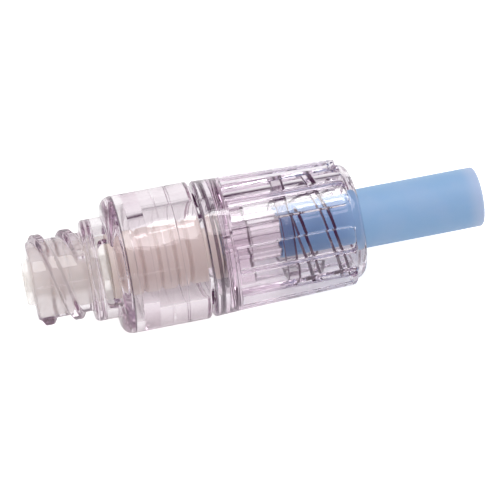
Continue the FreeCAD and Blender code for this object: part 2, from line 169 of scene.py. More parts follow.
class Tree:
    """A node tree, and the one method that adds any node to it."""

    def __init__(self, group):
        self.group = group

    def node(self, kind, settings=None, inputs=None, output=0):
        """Add a node: its type, its settings, then the values or wires of its sockets."""
        made = self.group.nodes.new(kind)
        for name, value in (settings or {}).items():
            setattr(made, name, value)
        for name, value in (inputs or {}).items():
            if isinstance(value, Wire):
                self.group.links.new(value.socket, made.inputs[name])
            else:
                made.inputs[name].default_value = value
        return Wire(self, made.outputs[output]) if len(made.outputs) else made

    def math(self, operation, *values):
        return self.node("ShaderNodeMath", {"operation": operation}, dict(enumerate(values)))

    def colour(self, factor, first, second):
        """Mix two colours: the first at factor 0, the second at factor 1."""
        return self.node("ShaderNodeMix", {"data_type": "RGBA"}, {0: factor, 6: first, 7: second}, output=2)


def geometry_tree(name, inputs):
    """A geometry tree with a mesh input and named sizes; returns it with its input wires by name."""
    group = bpy.data.node_groups.new(name, "GeometryNodeTree")
    group.interface.new_socket("Geometry", in_out="OUTPUT", socket_type="NodeSocketGeometry")
    group.interface.new_socket("Geometry", in_out="INPUT", socket_type="NodeSocketGeometry")
    for label, kind in inputs:
        group.interface.new_socket(label, in_out="INPUT", socket_type=kind)
    tree = Tree(group)
    entry = group.nodes.new("NodeGroupInput")
    wires = {socket.name: Wire(tree, socket) for socket in entry.outputs if socket.name}
    return tree, wires


def finish_tree(tree, geometry, material):
    """End a geometry tree in plain, finished geometry."""
    realized = tree.node("GeometryNodeRealizeInstances", {}, {"Geometry": geometry})
    painted = tree.node("GeometryNodeSetMaterial", {}, {"Geometry": realized, "Material": material})
    tree.node("NodeGroupOutput", {}, {"Geometry": painted})


def run_tree(piece, tree, values):
    """Put a tree on a piece with its named values, and keep the result as the piece's plain mesh."""
    modifier = piece.modifiers.new(tree.group.name, "NODES")
    modifier.node_group = tree.group
    for item in tree.group.interface.items_tree:
        if item.in_out == "INPUT" and item.name in values:
            modifier[item.identifier] = values[item.name]
    bpy.context.view_layer.update()
    evaluated = piece.evaluated_get(bpy.context.evaluated_depsgraph_get())
    result = bpy.data.meshes.new_from_object(evaluated)
    piece.modifiers.remove(modifier)
    piece.data = result


print("node helpers ready")

# %% [markdown]
# Turned shapes
#
# Injection-moulded luer parts are turned shapes with a few cuts. Spinning an outline by hand in mesh code
# keeps full control over where the rings lie, and it closes the outline, so every wall has two sides. An
# outline is a short list of corners (along, out) in millimetres, and a third number rounds that corner.

# %% Outlines and lathe
LATHE_STEPS = 224
ARC_STEPS = 6
SHARP_ANGLE = math.radians(32)
TINY = 1e-6
MERGE_DISTANCE = 0.0005
SHORTEST_EDGE = 0.0002


def rounded(corners):
    """Points of a closed outline, with the corners that have a third number rounded to it."""
    points = []
    for i, corner in enumerate(corners):
        here = Vector(corner[:2])
        if len(corner) == 2:
            points.append(here)
            continue
        radius = corner[2]
        back = (Vector(corners[i - 1][:2]) - here).normalized()
        ahead = (Vector(corners[(i + 1) % len(corners)][:2]) - here).normalized()
        half = back.angle(ahead) / 2
        centre = here + (back + ahead).normalized() * (radius / math.sin(half))
        first = here + back * (radius / math.tan(half)) - centre
        last = here + ahead * (radius / math.tan(half)) - centre
        start = math.atan2(first.y, first.x)
        sweep = math.remainder(math.atan2(last.y, last.x) - start, 2 * math.pi)
        for k in range(ARC_STEPS + 1):
            angle = start + sweep * k / ARC_STEPS
            points.append(centre + radius * Vector((math.cos(angle), math.sin(angle))))
    return points


def split_side(points, out, step):
    """Add rings along the sides that lie at one radius, so that a thread can rise from them."""
    made = []
    for here, following in zip(points, points[1:] + points[:1]):
        made.append(here)
        length = (following - here).length
        if abs(here.y - out) < TINY and abs(following.y - out) < TINY and length > step:
            count = math.ceil(length / step)
            made += [here.lerp(following, k / count) for k in range(1, count)]
    return made


def new_piece(name, vertices, faces):
    mesh = bpy.data.meshes.new(name)
    mesh.from_pydata(vertices, [], faces)
    piece = bpy.data.objects.new(name, mesh)
    bpy.context.scene.collection.objects.link(piece)
    return piece


def turn(name, points):
    """Spin a closed outline round the X axis into a closed mesh."""
    vertices = []
    rings = []
    for along, out in points:
        steps = LATHE_STEPS if out > TINY else 1
        rings.append([len(vertices) + k for k in range(steps)])
        for k in range(steps):
            angle = 2 * math.pi * k / LATHE_STEPS
            vertices.append((along * MM, out * MM * math.cos(angle), out * MM * math.sin(angle)))
    faces = []
    for here, following in zip(rings, rings[1:] + rings[:1]):
        for k in range(LATHE_STEPS):
            spots = ((here, k), (here, k + 1), (following, k + 1), (following, k))
            corners = list(dict.fromkeys(ring[spot % len(ring)] for ring, spot in spots))
            if len(corners) > 2:
                faces.append(corners)
    piece = new_piece(name, vertices, faces)
    face_outwards(piece)
    return piece


def face_outwards(piece):
    """Merge doubled points and turn every face outwards."""
    edit = bmesh.new()
    edit.from_mesh(piece.data)
    bmesh.ops.remove_doubles(edit, verts=edit.verts, dist=MERGE_DISTANCE * MM)
    bmesh.ops.dissolve_degenerate(edit, edges=edit.edges, dist=SHORTEST_EDGE * MM)
    bmesh.ops.recalc_face_normals(edit, faces=edit.faces)
    edit.to_mesh(piece.data)
    edit.free()


def smooth(piece):
    """Shade smooth, with the moulded corners kept sharp."""
    piece.data.shade_smooth()
    piece.data.set_sharp_from_angle(angle=SHARP_ANGLE)
    open_edges = sum(1 for edge in edge_uses(piece).values() if edge != 2)
    print(f"{piece.name}: {len(piece.data.polygons)} faces, {open_edges} edges not closed")


def edge_uses(piece):
    uses = {}
    for polygon in piece.data.polygons:
        for key in polygon.edge_keys:
            uses[key] = uses.get(key, 0) + 1
    return uses


print("lathe ready")

# %% [markdown]
# Clear moulded plastic
#
# Clear polycarbonate for medical parts is dyed faintly violet to hide its natural yellow. One wall looks
# colourless, and only light that travels a long way inside the plastic comes out purple. A tint painted on
# the surface can't do that, so the dye is a Volume Absorption, and the surface is a nearly colourless
# Principled shader with full transmission. Very fine flow marks bend its reflections, and a faint haze
# varies its roughness. Cemented faces carry the attribute "bond" and are left out of the optics, because
# solvent cement leaves no gap for light to reflect from. Steep inner steps, the snap bead, the web and the
# flanks of the threads carry a face attribute that mixes in painted dark lines: a dark violet surface that
# stands in for the dark internal reflections that clear plastic shows at such steps. Light on its way to a
# matt surface passes straight through, so the silicone inside is lit brightly.

# %% Clear plastic material
PLASTIC_IOR = 1.585
WALL_CLEARNESS = 0.985
LEAST_ROUGHNESS = 0.01
HAZE_ROUGHNESS = 0.03
FLOW_STRETCH = (0.25, 1.0, 1.0)
FLOW_HEIGHT = 0.004
PARTING_HALF = 0.05
PARTING_FLAT = 0.01
PARTING_HEIGHT = 0.012
# Painted dark lines: this dark violet and its share stand in for internal reflections at steps and flanks.
PAINTED_LINE_VIOLET = (0.07, 0.012, 0.06, 1.0)
PAINTED_LINE_ROUGHNESS = 0.4
PAINTED_LINE_SHARE = 0.72


def new_material(name):
    material = bpy.data.materials.new(name)
    material.use_nodes = True
    material.node_tree.nodes.clear()
    return material, Tree(material.node_tree)


def noise(tree, place, scale, detail):
    return tree.node("ShaderNodeTexNoise", {}, {"Vector": place, "Scale": scale, "Detail": detail})


def stretched(tree, place, scale):
    return tree.node("ShaderNodeMapping", {}, {"Vector": place, "Scale": scale})


def bump(tree, height, distance, normal=None):
    inputs = {"Height": height, "Distance": distance, "Strength": 1.0}
    if normal is not None:
        inputs["Normal"] = normal
    return tree.node("ShaderNodeBump", {}, inputs)


def clear_plastic(name, tint, dye, dye_density, parting_clock=None):
    """Clear plastic; parting_clock is where a mould parting line runs, in degrees from +Z towards -Y."""
    material, tree = new_material(name)
    place = tree.node("ShaderNodeTexCoord", output="Object")
    flow = noise(tree, stretched(tree, place, FLOW_STRETCH), scale=1600.0, detail=3.0)
    haze = noise(tree, place, scale=500.0, detail=4.0)
    normal = bump(tree, flow, FLOW_HEIGHT * MM)
    if parting_clock is not None:
        apart = tree.node("ShaderNodeSeparateXYZ", {}, {"Vector": place})
        clock = math.radians(parting_clock)
        aside = abs(apart.beside("Y") * math.cos(clock) + apart.beside("Z") * math.sin(clock))
        ridge = 1 - abs(aside - PARTING_HALF * MM).smooth(PARTING_FLAT * MM, PARTING_HALF * MM)
        normal = bump(tree, ridge, PARTING_HEIGHT * MM, normal)
    bond = tree.node("ShaderNodeAttribute", {"attribute_name": "bond"}, output="Fac")
    path = tree.node("ShaderNodeLightPath")
    soft_light = tree.math("MAXIMUM", path.beside("Is Shadow Ray"), path.beside("Is Diffuse Ray"))
    paler = [min(1.0, share * 1.01) for share in tint[:3]] + [1.0]
    surface = tree.node("ShaderNodeBsdfPrincipled", {}, {
        "Base Color": tree.colour(haze, tint, paler),
        "Roughness": LEAST_ROUGHNESS + HAZE_ROUGHNESS * haze.smooth(0.45, 0.75),
        "IOR": PLASTIC_IOR,
        "Transmission Weight": 1.0,
        "Normal": normal,
        "Alpha": (1 - bond) * (1 - WALL_CLEARNESS * soft_light),
    })
    # Painted dark lines, mixed in on the faces that the attribute marks, in place of internal reflections.
    painted_dark_lines = tree.node("ShaderNodeAttribute", {"attribute_name": "painted_dark_lines"}, output="Fac")
    violet = {"Base Color": PAINTED_LINE_VIOLET, "Roughness": PAINTED_LINE_ROUGHNESS}
    marked = tree.node("ShaderNodeBsdfPrincipled", {}, violet)
    both = tree.node("ShaderNodeMixShader", {}, {0: PAINTED_LINE_SHARE * painted_dark_lines, 1: surface, 2: marked})
    volume = tree.node("ShaderNodeVolumeAbsorption", {}, {"Color": dye, "Density": dye_density})
    tree.node("ShaderNodeOutputMaterial", {}, {"Surface": both, "Volume": volume})
    return material


BARREL_TINT = (0.966, 0.953, 0.958, 1.0)
BARREL_DYE = (0.50, 0.02, 0.36, 1.0)
BARREL_DYE_DENSITY = 32.0
COLLAR_TINT = (0.972, 0.956, 0.972, 1.0)
COLLAR_DYE = (0.58, 0.02, 0.50, 1.0)
COLLAR_DYE_DENSITY = 26.0
WINDOW_CLOCK = 44.3
housing_plastic = clear_plastic(
    "clear_plastic_housing", BARREL_TINT, BARREL_DYE, BARREL_DYE_DENSITY, WINDOW_CLOCK)
base_plastic = clear_plastic("clear_plastic_base", BARREL_TINT, BARREL_DYE, BARREL_DYE_DENSITY)
collar_plastic = clear_plastic("lilac_plastic_collar", COLLAR_TINT, COLLAR_DYE, COLLAR_DYE_DENSITY)
print("clear plastics:", housing_plastic.name, base_plastic.name, collar_plastic.name)

# %% [markdown]
# Silicone and cap plastic
#
# The valve head is milky silicone that one can half see through, the boot is a grooved silicone sleeve
# that reads beige behind the barrel, and the cap is a satin polyolefin that lets some light in. All three
# scatter light below the surface, so they use subsurface scattering with a small radius rather than a flat
# colour. The head's Alpha is a single number, because its milkiness is the same all over.

# %% Silicone and cap materials
CLOUD_SHARE = 0.6
GRAIN_ROUGHNESS = 0.12
SOFT_IOR = 1.41
SCATTER_WEIGHT = 0.6
SCATTER_BY_COLOUR = (1.0, 0.9, 0.8)
# Painted light and shade on the cap: paler over the closed end, darker inside the collar's shade.
CAP_END_PAINTED_LIGHT_BLUE = (0.42, 0.52, 0.72, 1.0)
CAP_PAINTED_SHADE_BLUE = (0.22, 0.37, 0.62, 1.0)


def soft_plastic(name, colour, second_colour, roughness, scatter_mm, grain_scale, grain_height,
                 cover=1.0, tone_along=None):
    """A scattering plastic whose tone wanders between two colours and whose skin has a fine grain."""
    material, tree = new_material(name)
    place = tree.node("ShaderNodeTexCoord", output="Object")
    cloud = noise(tree, place, scale=350.0, detail=4.0)
    grain = noise(tree, place, grain_scale, detail=3.0)
    tone = tree.colour(CLOUD_SHARE * cloud.smooth(0.35, 0.7), colour, second_colour)
    if tone_along is not None:
        tone = tone_along(tree, place, tone)
    surface = tree.node("ShaderNodeBsdfPrincipled", {}, {
        "Base Color": tone,
        "Roughness": roughness + GRAIN_ROUGHNESS * grain,
        "IOR": SOFT_IOR,
        "Subsurface Weight": SCATTER_WEIGHT,
        "Subsurface Radius": SCATTER_BY_COLOUR,
        "Subsurface Scale": scatter_mm * MM,
        "Alpha": cover,
        "Normal": bump(tree, grain, grain_height * MM),
    })
    tree.node("ShaderNodeOutputMaterial", {}, {"Surface": surface})
    return material


def cap_painted_light_and_shade(tree, place, tone):
    """Painted paler over the closed end, where light gets in, and painted shade inside the collar."""
    along = tree.node("ShaderNodeSeparateXYZ", {}, {"Vector": place})
    painted_light_at_end = along.smooth(37.6 * MM, 39.0 * MM)
    past_collar = along.smooth(26.0 * MM, 28.6 * MM)
    tone = tree.colour(painted_light_at_end, tone, CAP_END_PAINTED_LIGHT_BLUE)
    return tree.colour(past_collar, CAP_PAINTED_SHADE_BLUE, tone)


frosted_silicone = soft_plastic(
    "frosted_silicone", (0.78, 0.72, 0.69, 1.0), (0.71, 0.65, 0.61, 1.0),
    roughness=0.26, scatter_mm=0.5, grain_scale=4000.0, grain_height=0.004, cover=0.34)
beige_silicone = soft_plastic(
    "beige_silicone", (0.70, 0.60, 0.57, 1.0), (0.63, 0.52, 0.49, 1.0),
    roughness=0.36, scatter_mm=0.4, grain_scale=3000.0, grain_height=0.006)
blue_plastic = soft_plastic(
    "blue_cap_plastic", (0.27, 0.44, 0.68, 1.0), (0.32, 0.46, 0.69, 1.0),
    roughness=0.42, scatter_mm=0.6, grain_scale=5000.0, grain_height=0.003, tone_along=cap_painted_light_and_shade)
print("soft plastics:", frosted_silicone.name, beige_silicone.name, blue_plastic.name)

# %% [markdown]
# The luer thread
#
# A luer lock thread has two starts, a lead of 5 mm and rounded crests, and here it runs out after less than
# one turn. It follows one rule, so a geometry tree lifts the points of a densely ringed wall along that
# rule. The same tree with a negative height makes the thread inside the collar. Angles go from +Y to +Z.

# %% Thread tree
STARTS = 2
THREAD_LEAD = 5.0


def thread_tree():
    sizes = ["Wall", "Reach", "Height", "Lead", "First", "Clock", "Turns"]
    sizes += ["Base Width", "Crest Width", "Run Out"]
    inputs = [(name, "NodeSocketFloat") for name in sizes] + [("Material", "NodeSocketMaterial")]
    tree, wire = geometry_tree("luer_thread", inputs)
    position = tree.node("GeometryNodeInputPosition")
    apart = tree.node("ShaderNodeSeparateXYZ", {}, {"Vector": position})
    x, y, z = (apart.beside(name) for name in "XYZ")
    out = tree.math("SQRT", y * y + z * z)
    angle = tree.math("ARCTAN2", z, y)
    ridge = None
    for start in range(STARTS):
        part_turn = tree.math("FRACT", (angle - wire["Clock"]) / (2 * math.pi) - start / STARTS)
        aside = abs(x - wire["First"] - wire["Lead"] * part_turn)
        rise = 1 - aside.smooth(wire["Crest Width"] / 2, wire["Base Width"] / 2)
        entry = part_turn.smooth(0.0, wire["Run Out"])
        leave = (wire["Turns"] - part_turn).smooth(0.0, wire["Run Out"])
        this = rise * entry * leave
        ridge = this if ridge is None else tree.math("MAXIMUM", ridge, this)
    lift = ridge * wire["Height"] * (abs(out - wire["Wall"]) < wire["Reach"]) / out
    offset = tree.node("ShaderNodeCombineXYZ", {}, {"Y": y * lift, "Z": z * lift})
    lifted = tree.node("GeometryNodeSetPosition", {}, {"Geometry": wire["Geometry"], "Offset": offset})
    finish_tree(tree, lifted, wire["Material"])
    return tree


luer_thread = thread_tree()
print("thread tree:", len(luer_thread.group.nodes), "nodes")

# %% [markdown]
# Cuts that repeat round the axis
#
# The two vent windows and the eight grip flutes are each one cut repeated round the axis. One tree copies a
# cutter round X, makes the copies real and subtracts them with an exact boolean. The cannula's side slot
# and the slit of the valve are cut by the same tree, with one copy.

# %% Cutting tree
def cutting_tree():
    inputs = [
        ("Cutter", "NodeSocketObject"),
        ("Copies", "NodeSocketInt"),
        ("Clock", "NodeSocketFloat"),
        ("Material", "NodeSocketMaterial"),
    ]
    tree, wire = geometry_tree("cut_round_axis", inputs)
    cutter = tree.node("GeometryNodeObjectInfo", {}, {"Object": wire["Cutter"]}, output="Geometry")
    spots = tree.node("GeometryNodePoints", {}, {"Count": wire["Copies"]})
    index = tree.node("GeometryNodeInputIndex")
    angle = wire["Clock"] + index * (2 * math.pi) / wire["Copies"]
    turned = tree.node("ShaderNodeCombineXYZ", {}, {"X": angle})
    placing = {"Points": spots, "Instance": cutter, "Rotation": turned}
    copies = tree.node("GeometryNodeInstanceOnPoints", {}, placing)
    real = tree.node("GeometryNodeRealizeInstances", {}, {"Geometry": copies})
    settings = {"operation": "DIFFERENCE", "solver": "EXACT"}
    cut = tree.node("GeometryNodeMeshBoolean", settings, {"Mesh 1": wire["Geometry"], "Mesh 2": real})
    finish_tree(tree, cut, wire["Material"])
    return tree


def loft(name, sections):
    """A closed solid through sections (along, [(across, out), ...]) that all have as many points."""
    vertices = []
    for along, section in sections:
        vertices += [(along * MM, across * MM, out * MM) for across, out in section]
    count = len(sections[0][1])
    faces = [list(range(count)), list(range(len(vertices) - count, len(vertices)))]
    for ring in range(len(sections) - 1):
        for k in range(count):
            a = ring * count + k
            b = ring * count + (k + 1) % count
            faces.append([a, b, b + count, a + count])
    piece = new_piece(name, vertices, faces)
    face_outwards(piece)
    return piece


def cut_round(piece, cutter, copies, clock_deg, material):
    """Cut copies of a cutter out of a piece, and remove the cutter."""
    values = {"Cutter": cutter, "Copies": copies, "Clock": math.radians(clock_deg), "Material": material}
    run_tree(piece, cut_round_axis, values)
    bpy.data.objects.remove(cutter)


cut_round_axis = cutting_tree()
print("cutting tree:", len(cut_round_axis.group.nodes), "nodes")

# %% [markdown]
# The front housing
#
# One moulding: a luer neck with the outer thread, a wider neck with two vent windows, a round shoulder and
# the barrel, whose socket takes the base. The thread rises from a wall with a ring every 0.05 mm, and the
# windows are cut afterwards with rounded corners.

# %% Front housing sizes
LUER_TAPER = 0.03
housing_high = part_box("front_housing")[1]
barrel_radius = housing_high.z / MM
barrel_end = housing_high.x / MM
luer_core = 3.4
thread_height = 0.5
thread_back = 4.5
thread_before_window = 27.4
luer_mouth = 2.15
taper_depth = 3.0
taper_end = luer_mouth - LUER_TAPER * taper_depth
luer_relief = 2.25
neck_face = 4.75
neck_radius = 4.38
neck_bore = 3.6
chamber_front = 5.5
shoulder_face = 6.8
socket_floor = 7.9
socket_radius = 5.10
cup_rim = 8.7
trap_setback = 1.2
trap_width = 0.15
trap_depth = 0.1
trap_back = barrel_end - trap_setback
trap_front = trap_back - trap_width
seam_round = 0.05
edge_round = 0.08
ring_step = 0.05
print("barrel:", round(barrel_radius, 2), "mm radius, ends at", round(barrel_end, 2), "mm")

# %% Front housing wall and thread
housing_outline = rounded([
    (0.0, luer_mouth, 0.1),
    (0.0, luer_core, 0.25),
    (neck_face, luer_core, 0.2),
    (neck_face, neck_radius, 0.4),
    (shoulder_face, neck_radius, 0.12),
    (shoulder_face, barrel_radius, 0.95),
    (barrel_end, barrel_radius, seam_round),
    (barrel_end, socket_radius),
    (trap_back, socket_radius),
    (trap_front, socket_radius),
    (cup_rim, socket_radius),
    (socket_floor, socket_radius, 0.12),
    (socket_floor, neck_bore, edge_round),
    (chamber_front, neck_bore, 0.35),
    (chamber_front, luer_relief, edge_round),
    (taper_depth, luer_relief),
    (taper_depth, taper_end),
])
housing = turn("housing", split_side(housing_outline, luer_core, ring_step))
run_tree(housing, luer_thread, {
    "Wall": luer_core * MM,
    "Reach": 0.26 * MM,
    "Height": thread_height * MM,
    "Lead": THREAD_LEAD * MM,
    "First": 0.7 * MM,
    "Clock": math.radians(WINDOW_CLOCK - thread_before_window),
    "Turns": 0.76,
    "Base Width": 1.3 * MM,
    "Crest Width": 0.5 * MM,
    "Run Out": 0.03,
    "Material": housing_plastic,
})
radii = [vertex.co.yz.length for vertex in housing.data.vertices if vertex.co.x < thread_back * MM]
print("thread crest radius, mm:", round(max(radii) / MM, 2))

# %% Vent windows
window_front = 5.8
window_length = 1.25
window_span = 5.4
window_round = 0.5
window_floor = 1.75
window_top = barrel_radius + 1


def rounded_plate(front, length, span, radius):
    """A rounded rectangle (along, across)."""
    back = front + length
    half = span / 2
    corners = ((front, -half), (back, -half), (back, half), (front, half))
    return rounded([(along, across, radius) for along, across in corners])


def plate_cutter(name, plate, low, high):
    """A straight cutter whose plan is (along, across), from one height to another."""
    vertices = [(along * MM, across * MM, out * MM) for out in (low, high) for along, across in plate]
    count = len(plate)
    faces = [list(range(count)), list(range(count, 2 * count))]
    faces += [[k, (k + 1) % count, (k + 1) % count + count, k + count] for k in range(count)]
    piece = new_piece(name, vertices, faces)
    face_outwards(piece)
    return piece


window_plan = rounded_plate(window_front, window_length, window_span, window_round)
window_cutter = plate_cutter("window_cutter", window_plan, window_floor, window_top)
cut_round(housing, window_cutter, 2, WINDOW_CLOCK, housing_plastic)
print("housing after the windows:", len(housing.data.polygons), "faces")

# %% [markdown]
# Cemented faces
#
# The base is cemented into the housing. Faces that touch there get the attribute "bond", so light passes
# them as if the two mouldings were one. A gap of two thousandths of a millimetre keeps the meshes apart. The
# narrow ring groove that traps spare cement stays an air gap, so it shows as one thin dark line. The luer
# bore counts as bonded too: soft silicone wets it, so the milky plug fills the whole luer to the eye.

# %% Mark the cemented faces and the faces with painted dark lines
BOND_GAP = 0.002
NEAR = 0.01
STEEP = 0.6
FLANK_STEEP = 0.45
FAINT = 0.35
mouth_rim = 0.12
chamber_rim = 0.1
corner_height = 0.2
corner_setback = 0.1
corner_half = 0.12
flank_foot = 0.08
flank_top = 0.05
neck_margin = 0.3


def mark_faces(piece, label, rule):
    """Store on each face what a rule gives for its centre (along, out) in mm and its steepness."""
    layer = piece.data.attributes.new(label, "FLOAT", "FACE")
    marks = []
    for polygon in piece.data.polygons:
        middle = polygon.center / MM
        marks.append(float(rule(middle.x, middle.yz.length, abs(polygon.normal.x))))
    layer.data.foreach_set("value", marks)
    print(f"{piece.name}: {sum(mark > 0 for mark in marks)} faces marked {label}")


def in_socket_joint(along, out):
    """True on the socket wall behind the cup rim, apart from the trap, and on the flat ring at the seam."""
    in_trap = trap_front < along < trap_back
    on_wall = abs(out - socket_radius) < NEAR and along > cup_rim and not in_trap
    at_seam = abs(along - barrel_end) < NEAR
    on_ring = at_seam and socket_radius - NEAR < out < barrel_radius - seam_round
    return on_wall or on_ring


def in_luer_bore(along, out):
    """True on the bore that the soft valve head fills and wets."""
    return mouth_rim < along < chamber_front - chamber_rim and out < luer_relief + NEAR


def bonded_in_housing(along, out, steep):
    """True on the cemented socket and on the wetted bore, however steep the face is."""
    return in_socket_joint(along, out) or in_luer_bore(along, out)


def painted_lines_in_housing(along, out, steep):
    """How far the socket's front corner and the thread's flanks get painted dark lines for reflections."""
    at_corner = abs(along - socket_floor - corner_setback) < corner_half
    if at_corner and out > socket_radius - corner_height:
        return 1.0
    on_thread = luer_core + flank_foot < out < luer_core + thread_height - flank_top
    on_flank = on_thread and steep > FLANK_STEEP and along < neck_face - neck_margin
    return FAINT if on_flank else 0.0


mark_faces(housing, "bond", bonded_in_housing)
mark_faces(housing, "painted_dark_lines", painted_lines_in_housing)
smooth(housing)

# %% [markdown]
# The outlet base
#
# The rear moulding is a cup with a thick lip, a flange that continues the barrel, a grooved hub that the
# collar snaps onto, and the male luer cone. A hollow cannula with a side slot stands in the cup. The collar
# turns on a film of silicone oil, so the hub and the bore round it are left out of the optics too.

# %% Outlet base
base_low, base_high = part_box("outlet_base")
luer_tip = base_high.x / MM
cannula_tip = base_low.x / MM
cup_lip_end = 10.1
cup_floor = 16.2
hub_radius = 4.75
hub_play = 0.08
hub_end = 16.85
collar_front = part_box("locking_collar")[0].x / MM
groove_front = 15.35
groove_back = 15.8
groove_radius = 4.55
cup_radius = 4.26
cup_lip = 3.75
flange_back = 14.45
boss_radius = 3.7
boss_end = 18.6
outlet_bore = 1.1
luer_tip_radius = 2.0
cannula_radius = 0.9
cannula_root = 1.3
cannula_root_length = 2.3
cannula_root_front = cup_floor - cannula_root_length
cannula_bore = 0.5
point_length = 0.8
point_end = cannula_tip + point_length
point_radius = 0.35
floor_wall = 1.0
outlet_front = cup_floor + floor_wall
slot_length = 1.8
slot_width = 0.4
slot_round = 0.1
slot_reach = 1.5
film_end = 0.1
foot_margin = 0.1


def in_hub_film(along, out):
    """True on the hub, its snap groove, and the collar's bore and bead round them."""
    is_between = groove_radius - NEAR < out < hub_radius + hub_play + NEAR
    return is_between and collar_front + film_end < along < hub_end - film_end


def male_luer(along):
    """Radius of the 6 percent luer cone at a station."""
    return luer_tip_radius + LUER_TAPER * (luer_tip - along)


base_outline = rounded([
    (luer_tip, outlet_bore, edge_round),
    (luer_tip, luer_tip_radius, 0.2),
    (boss_end, male_luer(boss_end), 0.15),
    (boss_end, boss_radius, edge_round),
    (hub_end, boss_radius, edge_round),
    (hub_end, hub_radius, edge_round),
    (groove_back, hub_radius, 0.04),
    (groove_back, groove_radius),
    (groove_front, groove_radius),
    (groove_front, hub_radius, 0.04),
    (flange_back, hub_radius, 0.1),
    (flange_back, barrel_radius, 0.2),
    (barrel_end + BOND_GAP, barrel_radius, seam_round),
    (barrel_end + BOND_GAP, socket_radius - BOND_GAP),
    (trap_back, socket_radius - BOND_GAP),
    (trap_back, socket_radius - trap_depth),
    (trap_front, socket_radius - trap_depth),
    (trap_front, socket_radius - BOND_GAP),
    (cup_rim, socket_radius - BOND_GAP),
    (cup_rim, cup_lip, 0.1),
    (cup_lip_end, cup_lip),
    (cup_lip_end, cup_radius),
    (cup_floor, cup_radius, 0.1),
    (cup_floor, cannula_root, 0.1),
    (cannula_root_front, cannula_root, edge_round),
    (cannula_root_front, cannula_radius),
    (point_end, cannula_radius, 0.2),
    (cannula_tip, point_radius, 0.1),
    (cannula_tip, 0.0),
    (point_end, 0.0),
    (point_end, cannula_bore),
    (outlet_front, cannula_bore),
    (outlet_front, outlet_bore),
])
base = turn("base", base_outline)
slot_plan = rounded_plate(point_end, slot_length, slot_width, slot_round)
slot_cutter = plate_cutter("slot_cutter", slot_plan, -slot_reach, slot_reach)
cut_round(base, slot_cutter, 1, 0.0, base_plastic)


def bonded_in_base(along, out, steep):
    """True on the cemented cup wall and on the hub, however steep the face is."""
    return in_socket_joint(along, out) or in_hub_film(along, out)


def painted_lines_in_base(along, out, steep):
    """True on the steep steps from the hub's end to the foot of the luer, which get painted dark lines."""
    return steep > STEEP and hub_end < along < boss_end + foot_margin


mark_faces(base, "bond", bonded_in_base)
mark_faces(base, "painted_dark_lines", painted_lines_in_base)
smooth(base)

# %% [markdown]
# The valve head and its boot
#
# The head is one turned silicone plug with a slit in its face. The boot is a sleeve with shallow ring
# grooves, where it folds up. Both are outlines with a few rounded corners, and a loop places the grooves.

# %% Valve head
head_low, head_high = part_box("valve_head")
face_at = head_low.x / MM
tail_end = head_high.x / MM
head_radius = 2.0
stem_radius = 1.75
head_end = 3.2
stop_front = 5.55
stop_back = 6.65
stop_radius = 2.75
tail_radius = 1.6
head_bore = 1.1
head_bore_front = 1.05
head = turn("head", rounded([
    (face_at, 0.0),
    (face_at, head_radius, 0.3),
    (head_end, head_radius, 0.3),
    (head_end, stem_radius, 0.15),
    (stop_front, stem_radius, 0.15),
    (stop_front, stop_radius, 0.15),
    (stop_back, stop_radius, 0.15),
    (stop_back, tail_radius, 0.1),
    (tail_end, tail_radius, 0.1),
    (tail_end, head_bore, 0.1),
    (head_bore_front, head_bore, 0.3),
    (head_bore_front, 0.0),
]))
slit_length = 2.0
slit_width = 0.08
slit_round = 0.01
slit_start = face_at - 1
slit_reach = 2.9
slit_plan = rounded_plate(slit_start, slit_reach, slit_length, slit_round)
slit_cutter = plate_cutter("slit_cutter", slit_plan, -slit_width / 2, slit_width / 2)
cut_round(head, slit_cutter, 1, 0.0, frosted_silicone)
smooth(head)

# %% Return boot
boot_low, boot_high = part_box("return_boot")
boot_front = boot_low.x / MM
boot_back = boot_high.x / MM
boot_radius = boot_high.z / MM
boot_folds = 6
boot_ring = 0.7
boot_ring_bore = 1.65
boot_wall = 0.6
boot_bore = boot_radius - boot_wall
groove_half = 0.2
fold_groove_depth = 0.3
groove_round = 0.06
wall_front = boot_front + boot_ring
wall_back = boot_back - boot_ring
fold_pitch = (wall_back - wall_front) / boot_folds
fold_grooves = []
for i in range(boot_folds):
    middle = wall_front + fold_pitch * (i + 0.5)
    fold_grooves += [
        (middle - groove_half, boot_radius, groove_round),
        (middle, boot_radius - fold_groove_depth, groove_round),
        (middle + groove_half, boot_radius, groove_round),
    ]
boot = turn("boot", rounded([(boot_front, boot_ring_bore), (boot_front, boot_radius, 0.1)] + fold_grooves + [
    (boot_back, boot_radius, 0.1),
    (boot_back, boot_ring_bore),
    (wall_back, boot_ring_bore),
    (wall_back, boot_bore),
    (wall_front, boot_bore),
    (wall_front, boot_ring_bore),
]))
boot.data.materials.append(beige_silicone)
smooth(boot)

# %% [markdown]
# The locking collar
#
# The collar is a thin sleeve with a smooth skirt, eight grip ribs and a domed lip. The ribs are what is
# left between eight flat-floored flutes. Each flute has parallel sides, rounded rear corners and a soft
# edge where it meets the rib, like the steel insert that moulds it, so the cutter carries those roundings
# itself.

